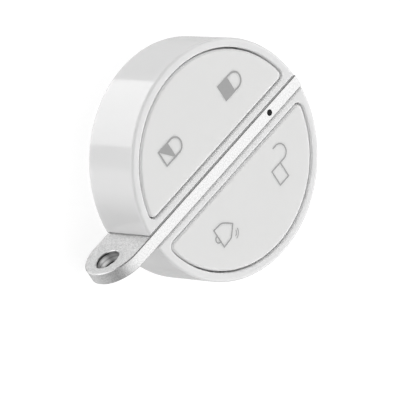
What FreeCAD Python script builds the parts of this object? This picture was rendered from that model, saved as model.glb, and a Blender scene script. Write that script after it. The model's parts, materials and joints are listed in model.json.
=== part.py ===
import FreeCAD, Part
import math
import os

from FreeCAD import Vector

# A round key fob: a white disc-shaped housing with two D-shaped rocking keys on its face, and an aluminium
# bar across the middle that passes through the wall and ends in a keyring lug. Millimetres.
# The origin is the centre of the flat back. +Z leads out of the face, +X to the right of the face,
# and +Y along the bar, away from the lug.

# Housing
BODY_RADIUS = 19.15
BODY_DEPTH = 11.0
WALL = 1.45
FACE_ROUND = 0.5
BACK_ROUND = 0.5
DECK = 0.8
BRIDGE_HALF = 2.45
WELL_LIP_ROUND = 0.2
RIM_FLAT = 0.1

# Keys
KEY_GAP = 0.3
KEY_DEPTH = 2.2
KEY_DROP = 0.7
KEY_PLATE = 1.0
KEY_SKIRT = 0.9
KEY_CORNER = 0.9
KEY_EDGE_ROUND = 0.4
RIB_THICKNESS = 0.8
RIB_DEPTH = 0.7
RIB_OFFSET = 4.2
PRESS_X = 8.75
PRESS_Y = 8.0
PLUNGER_RADIUS = 1.2
PLUNGER_GAP = 0.4
PRESS_CLEARANCE = 0.05

# Key pins, their saddles on the deck and the clips that hang from the keys
KEY_PIN_RADIUS = 0.5
KEY_PIN_RISE = 0.95
KEY_PIN_END_GAP = 0.65
PIN_HELD_GAP = 0.01
PIN_RUNNING_GAP = 0.05
SADDLE_LENGTH = 1.0
SADDLE_HALF_WIDTH = 1.0
SADDLE_LIP = 0.15
CLIP_LENGTH = 1.2
CLIP_HALF_WIDTH = 1.1
CLIP_LIP = 0.1
CLIP_SIDE_GAP = 0.2
SNAP_MOUTH = 0.8

# Keyring bar
BAR_WIDTH = 2.2
BAR_DEPTH = 2.2
BAR_GAP = 0.15
BAR_EDGE = 0.15
SLOT_LIP = 0.2
LUG_REACH = 28.2
LUG_FROM_BACK = 0.4
WALL_FOOT = 0.75
RING_HOLE_RADIUS = 2.0
RING_HOLE_FROM_END = 3.5
ROOT_REACH = 1.8
ROOT_ROUND = 0.8

# What holds the bar
SCREW_RADIUS = 0.7
SCREW_HEAD_RADIUS = 1.15
SCREW_HEAD = 0.6
SCREW_BITE = 1.5
SCREW_GAP = 0.1
SCREW_HEAD_CHAMFER = 0.15
SCREW_SLOT = 0.3
SCREW_SLOT_REACH = 0.7
SCREW_PLACES = (-8.0, 15.4)
SEAT_SINK = 0.7
ANCHOR_CHEEK = 2.0
ANCHOR_PIN_RADIUS = 0.6

# Indicator
LENS_RADIUS = 0.5
LENS_GAP = 0.03
LENS_SINK = 0.05
LENS_FOOT_RADIUS = 0.9
LENS_FOOT = 0.5
LENS_Y = 11.3
LED_LENGTH = 1.6
LED_WIDTH = 0.8
LED_HEIGHT = 0.6
LED_TOP_LENGTH = 1.1

# Back cover, seal and snap beads
COVER = 1.2
COVER_GAP = 0.1
SPIGOT_HEIGHT = 1.4
SPIGOT_THICKNESS = 1.0
SEAL_SECTION = 0.8
SEAL_CHAMFER = 0.2
SEAL_GAP = 0.05
BEAD_HEIGHT = 0.5
BEAD_BITE = 0.15
BEAD_ANGLE = 16.0
BEAD_COUNT = 4
GROOVE_GAP = 0.1
PRY_RADIUS = 1.6
PRY_DEPTH = 0.7
INNER_GAP = 0.2

# Battery and its carrier
CELL_RADIUS = 10.0
CELL_CAP_RADIUS = 8.85
CELL_CAP = 0.3
CELL_CHAMFER = 0.2
CELL_LIFT = 0.65
LEAF_ROOM = 1.15
LIFT_RING_RADIUS = 7.5
LIFT_RING_WIDTH = 1.0
CELL_SIDE_GAP = 0.2
CUP_WALL = 1.0
TRAY_WEB = 0.8
TRAY_WINDOWS = 6
TRAY_WINDOW_RADIUS = 1.0
CONTACT_SHEET = 0.15
CONTACT_WIDTH = 3.0
CONTACT_FOOT = 1.6
CONTACT_REST_GAP = 0.05
LEAF_HALF_LENGTH = 4.4
LEAF_FLAT = 1.5
LEAF_TIP = 0.3

# Circuit board and what it carries
BOARD = 1.0
BOARD_STANDOFF = 0.8
BOARD_GAP = 0.4
POST_RADIUS = 1.1
POST_INSET = 2.5
POST_ANGLES = (30.0, 150.0, 210.0, 330.0)
STAKE_RADIUS = 0.6
STAKE_TAIL = 0.5
STAKE_GAP = 0.1
DOME_RADIUS = 2.1
DOME_HEIGHT = 0.4
DOME_SHEET = 0.1
CHIP_GAP = 0.4
CHIP_CHAMFER = 0.15
CONTROLLER_SIDE = 4.0
CONTROLLER_HEIGHT = 0.85
CONTROLLER_ANGLE = 180.0
RADIO_SIDE = 3.0
RADIO_HEIGHT = 0.8
RADIO_ANGLE = 0.0
TAG_CHIP_SIDE = 2.0
TAG_CHIP_HEIGHT = 0.7
TAG_CHIP_ANGLE = 315.0
CRYSTAL_LENGTH = 3.2
CRYSTAL_WIDTH = 2.0
CRYSTAL_HEIGHT = 0.7
CRYSTAL_ROUND = 0.5
CRYSTAL_ANGLE = 228.0
AERIAL_LENGTH = 5.0
AERIAL_WIDTH = 1.6
AERIAL_HEIGHT = 0.9
AERIAL_ANGLE = 50.0
CAPACITOR_LENGTH = 1.0
CAPACITOR_WIDTH = 0.5
CAPACITOR_HEIGHT = 0.5
CAPACITOR_ANGLES = (69.0, 77.0, 103.0, 111.0, 164.0, 196.0, 345.0)
COIL_WIDTH = 2.0
COIL_HEIGHT = 1.2
COIL_CHAMFER = 0.3

# Radii, heights and places worked out from the sizes above
WALL_INSIDE = BODY_RADIUS - WALL
DECK_TOP = BODY_DEPTH - KEY_DEPTH - KEY_DROP
DECK_BOTTOM = DECK_TOP - DECK
BOARD_TOP = DECK_BOTTOM - BOARD_STANDOFF
BOARD_BOTTOM = BOARD_TOP - BOARD
SLOT_FLOOR = BODY_DEPTH - BAR_DEPTH
SEAT = DECK_BOTTOM + SEAT_SINK
KEY_PIN_HEIGHT = DECK_TOP + KEY_PIN_RISE
KEY_UNDERSIDE = BODY_DEPTH - KEY_PLATE
KEY_RADIUS = WALL_INSIDE - KEY_GAP
KEY_CHORD = BRIDGE_HALF + KEY_GAP
KEY_INSIDE_RADIUS = KEY_RADIUS - KEY_SKIRT
KEY_INSIDE_CHORD = KEY_CHORD + KEY_SKIRT
KEY_PIN_START = KEY_INSIDE_CHORD + KEY_PIN_END_GAP
KEY_PIN_END = KEY_INSIDE_RADIUS - KEY_PIN_END_GAP
CELL_BOTTOM = COVER + CELL_LIFT
CELL_TOP = BOARD_BOTTOM - LEAF_ROOM
WEB_RISE = (BOARD_BOTTOM - AERIAL_HEIGHT - COIL_HEIGHT - TRAY_WEB - COVER) / 2
WEB_BOTTOM = COVER + WEB_RISE
WEB_TOP = WEB_BOTTOM + TRAY_WEB
SPIGOT_TOP = COVER + SPIGOT_HEIGHT
SPIGOT_OUTSIDE = WALL_INSIDE - SEAL_SECTION - SEAL_GAP
SPIGOT_INSIDE = SPIGOT_OUTSIDE - SPIGOT_THICKNESS
ROOT_BOTTOM = SPIGOT_TOP + INNER_GAP
ROOT_END = WALL_INSIDE - ROOT_REACH
SLOT_HALF = BAR_WIDTH / 2 + BAR_GAP
NECK_BOTTOM = WALL_FOOT + BAR_GAP
SHOULDER = BODY_RADIUS + BAR_GAP
ANCHOR_HALF = SLOT_HALF + ANCHOR_CHEEK
ANCHOR_PIN_Y = -(WALL_INSIDE + ROOT_END) / 2
ANCHOR_PIN_Z = (ROOT_BOTTOM + DECK_BOTTOM) / 2
CUP_INSIDE = CELL_RADIUS + CELL_SIDE_GAP
CUP_OUTSIDE = CUP_INSIDE + CUP_WALL
WEB_OUTSIDE = SPIGOT_INSIDE - INNER_GAP
COIL_RADIUS = (CUP_OUTSIDE + WEB_OUTSIDE) / 2
CHIP_START = CUP_OUTSIDE + CHIP_GAP
POST_RING = WALL_INSIDE - POST_INSET
PRESS_POINTS = {"upper": PRESS_Y, "lower": -PRESS_Y}
SIDES = {"left": -1, "right": 1}
TOLERANCE = 1e-4


def upright(radius, low, high, x=0.0, y=0.0):
    """A cylinder along Z between two heights."""
    return Part.makeCylinder(radius, high - low, Vector(x, y, low))


def crosswise(radius, start, end, y, z):
    """A cylinder along X between two places."""
    return Part.makeCylinder(radius, end - start, Vector(start, y, z), Vector(1, 0, 0))


def ring(inside, outside, low, high):
    """A flat ring about Z."""
    return upright(outside, low, high).cut(upright(inside, low, high))


def block(low, high):
    """A box between two opposite corners."""
    size = Vector(*high) - Vector(*low)
    return Part.makeBox(size.x, size.y, size.z, Vector(*low))


def at_angle(shape, degrees):
    """The shape turned about the Z axis."""
    turned = shape.copy()
    turned.rotate(Vector(0, 0, 0), Vector(0, 0, 1), degrees)
    return turned


def on_side(shape, side):
    """The shape as made on the right, or its mirror image on the left."""
    return shape if side > 0 else shape.mirror(Vector(0, 0, 0), Vector(1, 0, 0))


def edges_at(shape, height):
    """The edges that lie wholly at one height."""
    return [edge for edge in shape.Edges
            if max(abs(edge.BoundBox.ZMin - height), abs(edge.BoundBox.ZMax - height)) < TOLERANCE]


def flat_edges(shape):
    """The edges that lie level, at any height."""
    return [edge for edge in shape.Edges if edge.BoundBox.ZLength < TOLERANCE]


def save(name, shape):
    shape.exportStep("parts/" + name + ".step")


def d_prism(radius, chord, corner, low, high):
    """A prism with a D outline: an arc about the origin, a straight side at x = chord, rounded corners."""
    corner_x = chord + corner
    corner_y = math.sqrt((radius - corner) ** 2 - corner_x ** 2)
    reach = radius / (radius - corner)
    lean = math.atan2(corner_y, corner_x)
    middle = (lean + math.pi) / 2
    touch = Vector(corner_x * reach, corner_y * reach, low)
    corner_top = Vector(corner_x + corner * math.cos(middle), corner_y + corner * math.sin(middle), low)
    side_top = Vector(chord, corner_y, low)
    edges = [
        Part.LineSegment(Vector(chord, -corner_y, low), side_top),
        Part.Arc(side_top, corner_top, touch),
        Part.Arc(touch, Vector(radius, 0, low), Vector(touch.x, -touch.y, low)),
        Part.Arc(Vector(touch.x, -touch.y, low), Vector(corner_top.x, -corner_top.y, low),
                 Vector(chord, -corner_y, low)),
    ]
    wire = Part.Wire([edge.toShape() for edge in edges])
    return Part.Face(wire).extrude(Vector(0, 0, high - low))


def rounded_disc():
    """The housing's outside: a disc with a round at the face, short of the rim's flat, and at the back."""
    disc = upright(BODY_RADIUS, 0, BODY_DEPTH)
    face_round = min(FACE_ROUND, WALL - WELL_LIP_ROUND - RIM_FLAT)
    disc = disc.makeFillet(face_round, edges_at(disc, BODY_DEPTH))
    return disc.makeFillet(min(BACK_ROUND, WALL / 2), edges_at(disc, 0))


def key_wells():
    """The two wells that the keys sit in, each the key's outline with the gap round it."""
    well = d_prism(WALL_INSIDE, BRIDGE_HALF, KEY_CORNER + KEY_GAP, DECK_TOP, BODY_DEPTH + 1)
    return [on_side(well, side) for side in SIDES.values()]


def key_saddles():
    """Open-topped saddles on the deck that the two ends of each key pin snap into."""
    saddles = []
    top = KEY_PIN_HEIGHT + KEY_PIN_RADIUS + SADDLE_LIP
    for start in (KEY_PIN_START, KEY_PIN_END - SADDLE_LENGTH):
        end = start + SADDLE_LENGTH
        post = block((start, -SADDLE_HALF_WIDTH, DECK_TOP - DECK / 2), (end, SADDLE_HALF_WIDTH, top))
        post = post.cut(crosswise(KEY_PIN_RADIUS + PIN_HELD_GAP, start, end, 0, KEY_PIN_HEIGHT))
        mouth = block((start, -SNAP_MOUTH / 2, KEY_PIN_HEIGHT), (end, SNAP_MOUTH / 2, top))
        saddles.append(post.cut(mouth))
    return [on_side(saddle, side) for side in SIDES.values() for saddle in saddles]


def anchor_cheeks():
    """Two cheeks inside the wall, either side of the bar's root, which hold the cross pin."""
    low, high = ROOT_BOTTOM, DECK_BOTTOM + DECK / 2
    cheeks = block((-ANCHOR_HALF, -BODY_RADIUS, low), (ANCHOR_HALF, -ROOT_END, high))
    return cheeks.common(upright(WALL_INSIDE + WALL / 2, low, high))


def board_posts():
    """Posts under the deck that the board seats on, each with a stake that passes through the board."""
    post = upright(POST_RADIUS, BOARD_TOP, DECK_TOP - DECK / 2, POST_RING)
    stake = upright(STAKE_RADIUS, BOARD_BOTTOM - STAKE_TAIL, BOARD_TOP, POST_RING)
    return [at_angle(post.fuse(stake), angle) for angle in POST_ANGLES]


def slot_mouth():
    """A wedge along the slot that takes both of its upper edges off at 45 degrees."""
    low, high, far = BODY_DEPTH - SLOT_LIP, BODY_DEPTH + SLOT_LIP, BODY_RADIUS + 1
    wide = SLOT_HALF + 2 * SLOT_LIP
    corners = [Vector(-SLOT_HALF, -far, low), Vector(SLOT_HALF, -far, low),
               Vector(wide, -far, high), Vector(-wide, -far, high)]
    wire = Part.makePolygon(corners + corners[:1])
    return Part.Face(wire).extrude(Vector(0, 2 * far, 0))


def shell_cuts():
    """Everything that is cut out of the housing after its posts and cheeks are in place."""
    far = BODY_RADIUS + 1
    root_cut = -ROOT_END + BAR_GAP
    relief_low, relief_end = SLOT_FLOOR - ROOT_ROUND, root_cut + ROOT_ROUND
    cuts = [
        slot_mouth(),
        block((-SLOT_HALF, -far, SLOT_FLOOR), (SLOT_HALF, far, BODY_DEPTH + 1)),
        block((-SLOT_HALF, -far, WALL_FOOT), (SLOT_HALF, root_cut, BODY_DEPTH + 1)),
        block((-SLOT_HALF, -ROOT_END, relief_low), (SLOT_HALF, relief_end, SLOT_FLOOR)),
        crosswise(ANCHOR_PIN_RADIUS + PIN_HELD_GAP, -ANCHOR_HALF, ANCHOR_HALF, ANCHOR_PIN_Y, ANCHOR_PIN_Z),
        ring(SPIGOT_OUTSIDE, WALL_INSIDE + BEAD_BITE + GROOVE_GAP,
             SPIGOT_TOP - BEAD_HEIGHT - GROOVE_GAP, SPIGOT_TOP + GROOVE_GAP),
        upright(LENS_RADIUS + LENS_GAP, DECK_BOTTOM, BODY_DEPTH, 0, LENS_Y),
        upright(LENS_FOOT_RADIUS + LENS_GAP, DECK_BOTTOM, SEAT, 0, LENS_Y),
    ]
    for y in SCREW_PLACES:
        cuts.append(upright(SCREW_RADIUS + SCREW_GAP, DECK_BOTTOM, SLOT_FLOOR, 0, y))
        cuts.append(upright(SCREW_HEAD_RADIUS + SCREW_GAP, DECK_BOTTOM, SEAT, 0, y))
    for side in SIDES.values():
        for y in PRESS_POINTS.values():
            cuts.append(upright(PLUNGER_RADIUS + PLUNGER_GAP, DECK_BOTTOM, DECK_TOP, side * PRESS_X, y))
    return cuts


def front_shell():
    """Wall, rim, bridge and deck in one moulding, open at the back."""
    shell = rounded_disc().cut(upright(WALL_INSIDE, -1, DECK_BOTTOM))
    shell = shell.cut(key_wells())
    lips = [edge for edge in edges_at(shell, BODY_DEPTH) if edge.BoundBox.YMax < WALL_INSIDE + TOLERANCE]
    shell = shell.makeFillet(WELL_LIP_ROUND, lips)
    shell = shell.fuse(key_saddles() + [anchor_cheeks()] + board_posts())
    return shell.cut(shell_cuts()).removeSplitter()


def bar_outline():
    """The bar's side view, from the far end of the strip round the lug to the root and back."""
    lug_radius = (BODY_DEPTH - LUG_FROM_BACK) / 2
    lug_centre = -(LUG_REACH - lug_radius)
    far = BODY_RADIUS + 1
    top_end = Vector(0, far, BODY_DEPTH)
    arc_top = Vector(0, lug_centre, BODY_DEPTH)
    arc_tip = Vector(0, -LUG_REACH, LUG_FROM_BACK + lug_radius)
    arc_foot = Vector(0, lug_centre, LUG_FROM_BACK)
    shoulder = Vector(0, -SHOULDER, LUG_FROM_BACK)
    neck = Vector(0, -SHOULDER, NECK_BOTTOM)
    step = Vector(0, -WALL_INSIDE, NECK_BOTTOM)
    step_top = Vector(0, -WALL_INSIDE, ROOT_BOTTOM)
    root_foot = Vector(0, -ROOT_END, ROOT_BOTTOM)
    root_top = Vector(0, -ROOT_END, SLOT_FLOOR)
    strip_end = Vector(0, far, SLOT_FLOOR)
    corners = [arc_foot, shoulder, neck, step, step_top, root_foot, root_top, strip_end, top_end, arc_top]
    edges = [Part.LineSegment(a, b).toShape() for a, b in zip(corners, corners[1:])]
    edges.append(Part.Arc(arc_top, arc_tip, arc_foot).toShape())
    return Part.Face(Part.Wire(edges))


def keyring_bar():
    """The aluminium plate: a strip across the face, a root through the wall and the keyring lug."""
    half = BAR_WIDTH / 2
    bar = bar_outline().extrude(Vector(BAR_WIDTH, 0, 0))
    bar.translate(Vector(-half, 0, 0))
    inner_corner = [edge for edge in edges_at(bar, SLOT_FLOOR)
                    if edge.BoundBox.XLength > half and abs(edge.BoundBox.YMax + ROOT_END) < TOLERANCE]
    bar = bar.makeFillet(ROOT_ROUND, inner_corner)
    lug_side = block((-half, -LUG_REACH - 1, 0), (half, 0, BODY_DEPTH))
    bar = bar.common(lug_side.fuse(upright(BODY_RADIUS, 0, BODY_DEPTH)))
    lug_end = [edge for edge in bar.Edges if edge.BoundBox.YMin < TOLERANCE - LUG_REACH]
    shown = [edge for edge in edges_at(bar, BODY_DEPTH) + edges_at(bar, LUG_FROM_BACK) + lug_end
             if edge.BoundBox.XLength < TOLERANCE and edge.BoundBox.YLength > BAR_EDGE]
    bar = bar.makeChamfer(BAR_EDGE, shown)
    hole_y = -(LUG_REACH - RING_HOLE_FROM_END)
    hole_z = (BODY_DEPTH + LUG_FROM_BACK) / 2
    hole = crosswise(RING_HOLE_RADIUS, -half, half, hole_y, hole_z)
    for side in SIDES.values():
        flare = Part.makeCone(RING_HOLE_RADIUS + BAR_EDGE, RING_HOLE_RADIUS, BAR_EDGE,
                              Vector(side * half, hole_y, hole_z), Vector(-side, 0, 0))
        hole = hole.fuse(flare)
    cuts = [hole, crosswise(ANCHOR_PIN_RADIUS + PIN_HELD_GAP, -half, half, ANCHOR_PIN_Y, ANCHOR_PIN_Z),
            upright(LENS_RADIUS + LENS_GAP, SLOT_FLOOR, BODY_DEPTH, 0, LENS_Y)]
    cuts += [upright(SCREW_RADIUS, SLOT_FLOOR, SLOT_FLOOR + SCREW_BITE, 0, y) for y in SCREW_PLACES]
    return bar.cut(cuts)


def bar_screws():
    """Two small screws, up through the bridge into the bar, with a cross recess in each head."""
    screws = []
    for y in SCREW_PLACES:
        head = upright(SCREW_HEAD_RADIUS, SEAT - SCREW_HEAD, SEAT, 0, y)
        head = head.makeChamfer(SCREW_HEAD_CHAMFER, edges_at(head, SEAT - SCREW_HEAD))
        shank = upright(SCREW_RADIUS, SEAT, SLOT_FLOOR + SCREW_BITE, 0, y)
        low, high = SEAT - SCREW_HEAD, SEAT - SCREW_HEAD / 2
        half, arm = SCREW_SLOT / 2, SCREW_SLOT_REACH
        across = block((-arm, y - half, low), (arm, y + half, high))
        along = block((-half, y - arm, low), (half, y + arm, high))
        screws.append(head.fuse(shank).cut([across, along]))
    return Part.makeCompound(screws)


def anchor_pin():
    """The cross pin behind the wall, through both cheeks and the bar's root."""
    return crosswise(ANCHOR_PIN_RADIUS, -ANCHOR_HALF, ANCHOR_HALF, ANCHOR_PIN_Y, ANCHOR_PIN_Z)


def indicator_lens():
    """A dark light pipe through the bridge and the bar, with a foot that seats under the bridge."""
    pipe = upright(LENS_RADIUS, SEAT, BODY_DEPTH - LENS_SINK, 0, LENS_Y)
    return pipe.fuse(upright(LENS_FOOT_RADIUS, SEAT - LENS_FOOT, SEAT, 0, LENS_Y))


def key_clip(start):
    """A clip open at the bottom, which snaps over the key pin."""
    end = start + CLIP_LENGTH
    bore = KEY_PIN_RADIUS + PIN_RUNNING_GAP
    low = KEY_PIN_HEIGHT - bore - CLIP_LIP
    clip = block((start, -CLIP_HALF_WIDTH, low), (end, CLIP_HALF_WIDTH, KEY_UNDERSIDE + KEY_PLATE / 2))
    clip = clip.cut(crosswise(bore, start, end, 0, KEY_PIN_HEIGHT))
    return clip.cut(block((start, -SNAP_MOUTH / 2, low), (end, SNAP_MOUTH / 2, KEY_PIN_HEIGHT)))


def key(side):
    """A hollow D-shaped key: plate, skirt, two cross ribs, two plungers and two clips over its pin."""
    low = BODY_DEPTH - KEY_DEPTH
    shape = d_prism(KEY_RADIUS, KEY_CHORD, KEY_CORNER, low, BODY_DEPTH)
    shape = shape.makeFillet(KEY_EDGE_ROUND, edges_at(shape, BODY_DEPTH))
    hollow = d_prism(KEY_INSIDE_RADIUS, KEY_INSIDE_CHORD, KEY_CORNER, low - 1, KEY_UNDERSIDE)
    shape = shape.cut(hollow)
    rooted = KEY_UNDERSIDE + KEY_PLATE / 2
    ribs = []
    for y in (-RIB_OFFSET, RIB_OFFSET):
        rib = block((KEY_INSIDE_CHORD - KEY_SKIRT / 2, y - RIB_THICKNESS / 2, KEY_UNDERSIDE - RIB_DEPTH),
                    (KEY_RADIUS, y + RIB_THICKNESS / 2, rooted))
        ribs.append(rib.common(upright(KEY_INSIDE_RADIUS + KEY_SKIRT / 2, low, BODY_DEPTH)))
    tip = BOARD_TOP + DOME_HEIGHT + PRESS_CLEARANCE
    plungers = [upright(PLUNGER_RADIUS, tip, rooted, PRESS_X, y) for y in PRESS_POINTS.values()]
    inner_clip = KEY_PIN_START + SADDLE_LENGTH + CLIP_SIDE_GAP
    outer_clip = KEY_PIN_END - SADDLE_LENGTH - CLIP_SIDE_GAP - CLIP_LENGTH
    shape = shape.fuse(ribs + plungers + [key_clip(inner_clip), key_clip(outer_clip)])
    return on_side(shape.removeSplitter(), side)


def key_pin(side):
    """The steel pin that a key rocks on."""
    return on_side(crosswise(KEY_PIN_RADIUS, KEY_PIN_START, KEY_PIN_END, 0, KEY_PIN_HEIGHT), side)


def snap_dome(x, y):
    """A thin steel dome on the board, under a plunger."""
    def cap(radius, height):
        ball = (radius ** 2 + height ** 2) / (2 * height)
        sphere = Part.makeSphere(ball, Vector(x, y, BOARD_TOP + height - ball))
        return sphere.common(upright(radius, BOARD_TOP, BOARD_TOP + height, x, y))
    return cap(DOME_RADIUS, DOME_HEIGHT).cut(cap(DOME_RADIUS - DOME_SHEET * 2, DOME_HEIGHT - DOME_SHEET))


def circuit_board():
    """A round board, notched for the bar's anchor, with a hole for each stake."""
    board = upright(WALL_INSIDE - BOARD_GAP, BOARD_BOTTOM, BOARD_TOP)
    notch_half = ANCHOR_HALF + INNER_GAP
    notch = block((-notch_half, -BODY_RADIUS, BOARD_BOTTOM), (notch_half, -ROOT_END + INNER_GAP, BOARD_TOP))
    hole = upright(STAKE_RADIUS + STAKE_GAP, BOARD_BOTTOM, BOARD_TOP, POST_RING)
    return board.cut([notch] + [at_angle(hole, angle) for angle in POST_ANGLES])


def chip(length, width, height, angle):
    """A chip on the underside of the board, beside the tray's cup, with its lower edges chamfered."""
    low = BOARD_BOTTOM - height
    body = block((CHIP_START, -length / 2, low), (CHIP_START + width, length / 2, BOARD_BOTTOM))
    body = body.makeChamfer(CHIP_CHAMFER, edges_at(body, low))
    return at_angle(body, angle)


def capacitors():
    """Small chip capacitors round the edge of the board's underside."""
    return Part.makeCompound([chip(CAPACITOR_LENGTH, CAPACITOR_WIDTH, CAPACITOR_HEIGHT, angle)
                              for angle in CAPACITOR_ANGLES])


def crystal():
    """A crystal in its metal can, with rounded corners."""
    low = BOARD_BOTTOM - CRYSTAL_HEIGHT
    can = block((CHIP_START, -CRYSTAL_LENGTH / 2, low),
                (CHIP_START + CRYSTAL_WIDTH, CRYSTAL_LENGTH / 2, BOARD_BOTTOM))
    upright_edges = [edge for edge in can.Edges if edge.BoundBox.ZLength > TOLERANCE]
    can = can.makeFillet(CRYSTAL_ROUND, upright_edges)
    return at_angle(can, CRYSTAL_ANGLE)


def indicator_led():
    """The light-emitting diode under the lens: a flat base with a smaller clear block on it."""
    base_half, top_half, split = LED_LENGTH / 2, LED_TOP_LENGTH / 2, BOARD_TOP + LED_HEIGHT / 2
    front, back = LENS_Y - LED_WIDTH / 2, LENS_Y + LED_WIDTH / 2
    base = block((-base_half, front, BOARD_TOP), (base_half, back, split))
    return base.fuse(block((-top_half, front, split), (top_half, back, BOARD_TOP + LED_HEIGHT)))


def antenna_coil():
    """The tag's wound loop, taken as one ring, which lies on the tray."""
    inside, outside = COIL_RADIUS - COIL_WIDTH / 2, COIL_RADIUS + COIL_WIDTH / 2
    coil = ring(inside, outside, WEB_TOP, WEB_TOP + COIL_HEIGHT)
    return coil.makeChamfer(COIL_CHAMFER, flat_edges(coil))


def coin_cell():
    """A coin cell: the wide can towards the cover, the smaller cap towards the board."""
    can = upright(CELL_RADIUS, CELL_BOTTOM, CELL_TOP - CELL_CAP)
    can = can.makeChamfer(CELL_CHAMFER, flat_edges(can))
    cap = upright(CELL_CAP_RADIUS, CELL_TOP - CELL_CAP - CELL_CHAMFER, CELL_TOP)
    return can.fuse(cap)


def battery_tray():
    """A cup round the cell, from the cover to the board, with a web round it that carries the coil."""
    cup = ring(CUP_INSIDE, CUP_OUTSIDE, COVER, BOARD_BOTTOM)
    web = ring(CUP_INSIDE, WEB_OUTSIDE, WEB_BOTTOM, WEB_TOP)
    window = upright(TRAY_WINDOW_RADIUS, WEB_BOTTOM, WEB_TOP, COIL_RADIUS)
    windows = [at_angle(window, 360 * i / TRAY_WINDOWS) for i in range(TRAY_WINDOWS)]
    door_half = CONTACT_WIDTH / 2 + INNER_GAP
    door = block((-door_half, 0, CELL_BOTTOM), (door_half, CUP_OUTSIDE, BOARD_BOTTOM))
    return cup.fuse(web).cut(windows + [door])


def positive_contact():
    """A blade against the side of the cell, bent outwards to a foot under the board."""
    half, inner = CONTACT_WIDTH / 2, CELL_RADIUS + CONTACT_REST_GAP
    blade = block((-half, inner, CELL_BOTTOM + CELL_CHAMFER), (half, inner + CONTACT_SHEET, BOARD_BOTTOM))
    foot = block((-half, inner, BOARD_BOTTOM - CONTACT_SHEET), (half, inner + CONTACT_FOOT, BOARD_BOTTOM))
    return blade.fuse(foot)


def negative_contact():
    """A leaf spring from a foot under the board down to the cell's cap, with an upturned tip."""
    start, rest = -LEAF_HALF_LENGTH, CELL_TOP + CONTACT_SHEET
    line = [(start, BOARD_BOTTOM), (start + CONTACT_FOOT, BOARD_BOTTOM), (0, rest), (LEAF_FLAT, rest),
            (LEAF_FLAT + LEAF_TIP, rest + LEAF_TIP)]
    upper = [Vector(x, -CONTACT_WIDTH / 2, z) for x, z in line]
    lower = [Vector(x, -CONTACT_WIDTH / 2, z - CONTACT_SHEET) for x, z in reversed(line)]
    leaf = Part.Face(Part.makePolygon(upper + lower + upper[:1]))
    return leaf.extrude(Vector(0, CONTACT_WIDTH, 0))


def seal_ring():
    """The square ring, with its edges taken off, between the cover's spigot and the wall."""
    outside = WALL_INSIDE - SEAL_GAP / 2
    seal = ring(outside - SEAL_SECTION, outside, COVER, COVER + SEAL_SECTION)
    return seal.makeChamfer(SEAL_CHAMFER, flat_edges(seal))


def snap_bead(angle):
    """A short bead on the spigot that snaps into the groove in the wall."""
    low, far = SPIGOT_TOP - BEAD_HEIGHT, 2 * BODY_RADIUS
    bead = ring(SPIGOT_OUTSIDE - SPIGOT_THICKNESS / 2, WALL_INSIDE + BEAD_BITE, low, SPIGOT_TOP)
    reach = far * math.tan(math.radians(BEAD_ANGLE / 2))
    centre = Vector(0, 0, low)
    wedge = Part.Face(Part.makePolygon([centre, Vector(far, -reach, low), Vector(far, reach, low), centre]))
    return at_angle(bead.common(wedge.extrude(Vector(0, 0, BEAD_HEIGHT))), angle)


def back_cover():
    """The flat cover in the back, with its spigot, snap beads, a ring under the cell and a pry notch."""
    cover = upright(WALL_INSIDE - COVER_GAP, 0, COVER)
    spigot = ring(SPIGOT_INSIDE, SPIGOT_OUTSIDE, COVER, SPIGOT_TOP)
    half = LIFT_RING_WIDTH / 2
    lift = ring(LIFT_RING_RADIUS - half, LIFT_RING_RADIUS + half, COVER, CELL_BOTTOM)
    beads = [snap_bead(360 * (i + 0.5) / BEAD_COUNT) for i in range(BEAD_COUNT)]
    notch = upright(PRY_RADIUS, 0, PRY_DEPTH, 0, WALL_INSIDE)
    return cover.fuse([spigot, lift] + beads).cut(notch)


os.makedirs("parts", exist_ok=True)
save("front_shell", front_shell())
save("back_cover", back_cover())
save("seal_ring", seal_ring())
save("keyring_bar", keyring_bar())
save("bar_screws", bar_screws())
save("anchor_pin", anchor_pin())
save("indicator_lens", indicator_lens())
for side_name, side in SIDES.items():
    save(side_name + "_key", key(side))
    save(side_name + "_key_pin", key_pin(side))
    for point_name, press_y in PRESS_POINTS.items():
        save("snap_dome_" + side_name + "_" + point_name, snap_dome(side * PRESS_X, press_y))
save("circuit_board", circuit_board())
save("microcontroller", chip(CONTROLLER_SIDE, CONTROLLER_SIDE, CONTROLLER_HEIGHT, CONTROLLER_ANGLE))
save("radio_chip", chip(RADIO_SIDE, RADIO_SIDE, RADIO_HEIGHT, RADIO_ANGLE))
save("tag_chip", chip(TAG_CHIP_SIDE, TAG_CHIP_SIDE, TAG_CHIP_HEIGHT, TAG_CHIP_ANGLE))
save("chip_antenna", chip(AERIAL_LENGTH, AERIAL_WIDTH, AERIAL_HEIGHT, AERIAL_ANGLE))
save("crystal", crystal())
save("capacitors", capacitors())
save("indicator_led", indicator_led())
save("antenna_coil", antenna_coil())
save("coin_cell", coin_cell())
save("battery_tray", battery_tray())
save("positive_contact", positive_contact())
save("negative_contact", negative_contact())
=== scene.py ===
import json
import math

import bpy
import numpy as np
from bpy.props import FloatProperty, FloatVectorProperty, PointerProperty
from mathutils import Matrix, Vector


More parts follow.
